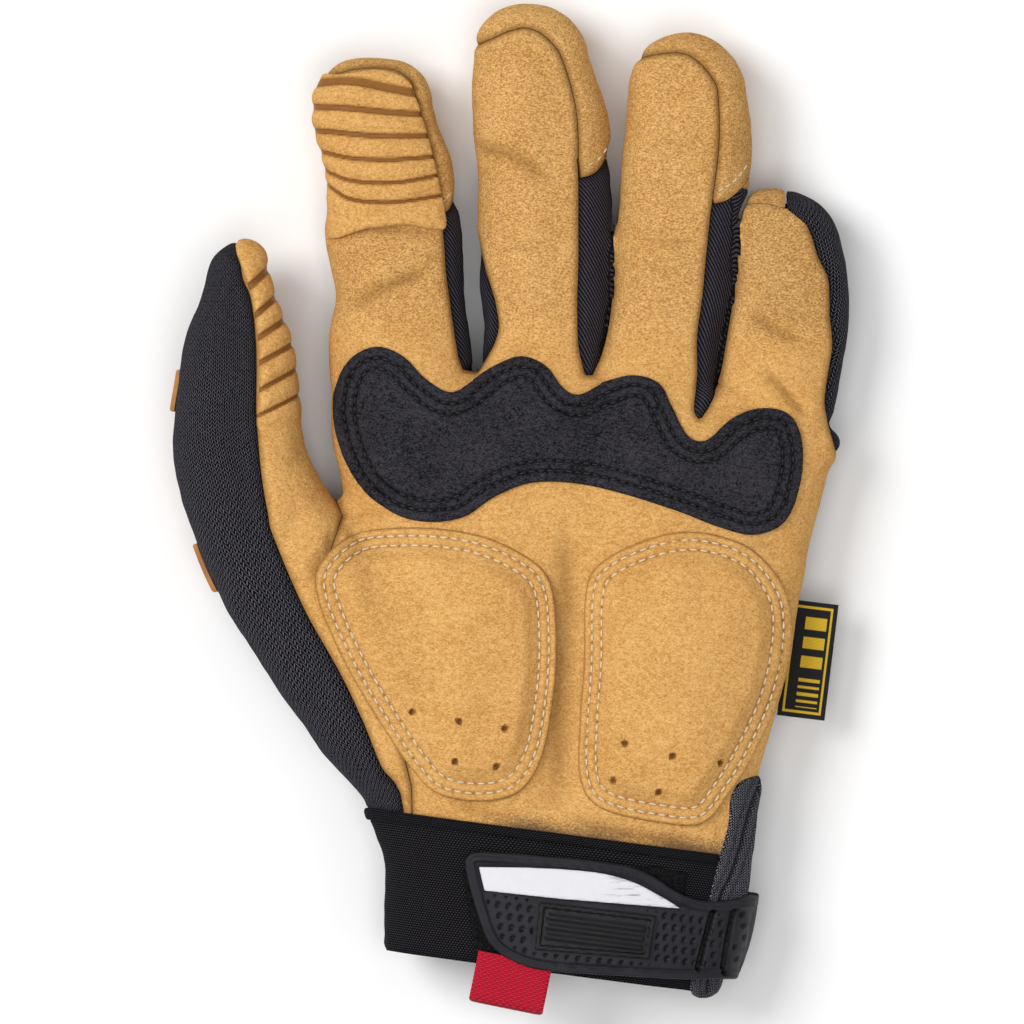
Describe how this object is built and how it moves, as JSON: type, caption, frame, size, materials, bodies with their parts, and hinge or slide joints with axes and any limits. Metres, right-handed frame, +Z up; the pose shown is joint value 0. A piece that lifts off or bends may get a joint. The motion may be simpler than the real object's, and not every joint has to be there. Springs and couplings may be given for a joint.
{
  "type": "mechanic glove",
  "caption": "Left-hand work glove lying palm up: tan suede palm with sewn pads, knit back, ribbed index and thumb grips, elastic cuff with a moulded closure strap and a pull tab.",
  "frame": {"origin": "under the middle of the glove's bounding box, on the surface that it lies on", "axes": "+X towards the little finger, +Y from the cuff to the fingertips, +Z up, out of the palm"},
  "size_m": [0.1628, 0.2428, 0.0359],
  "materials": {
    "palm_suede": "matte tan suede",
    "pad_suede": "matte tan suede over foam",
    "grip_suede": "tan suede with pressed grooves",
    "patch_suede": "matte black suede",
    "knit": "black stretch knit",
    "twill": "charcoal twill",
    "cuff_elastic": "black woven elastic",
    "binding_knit": "grey stretch binding",
    "loop_pile": "black hook and loop pile",
    "strap_rubber": "moulded black rubber",
    "guard_rubber": "moulded tan rubber",
    "stripe": "white reflective tape",
    "tab_webbing": "red woven webbing",
    "label_cloth": "black woven label with yellow bars"
  },
  "bodies": {
    "root": {"palm_panel": "palm_suede", "back_panel": "knit", "thumb_front": "palm_suede", "thumb_back": "knit", "index_tip_cap": "palm_suede", "middle_tip_cap": "palm_suede", "ring_tip_cap": "palm_suede", "little_tip_cap": "palm_suede", "index_side_strip": "twill", "middle_side_strip": "twill", "ring_side_strip": "twill", "knuckle_patch": "patch_suede", "thenar_pad": "pad_suede", "heel_pad": "pad_suede", "index_grip": "grip_suede", "thumb_grip": "grip_suede", "thumb_guard": "guard_rubber", "cuff_band": "cuff_elastic", "cuff_tape": "cuff_elastic", "wrist_binding": "binding_knit", "loop_patch": "loop_pile", "closure_strap": "strap_rubber", "strap_stripe": "stripe", "strap_plate": "strap_rubber", "pull_tab": "tab_webbing", "side_label": "label_cloth"}
  },
  "joints": []
}
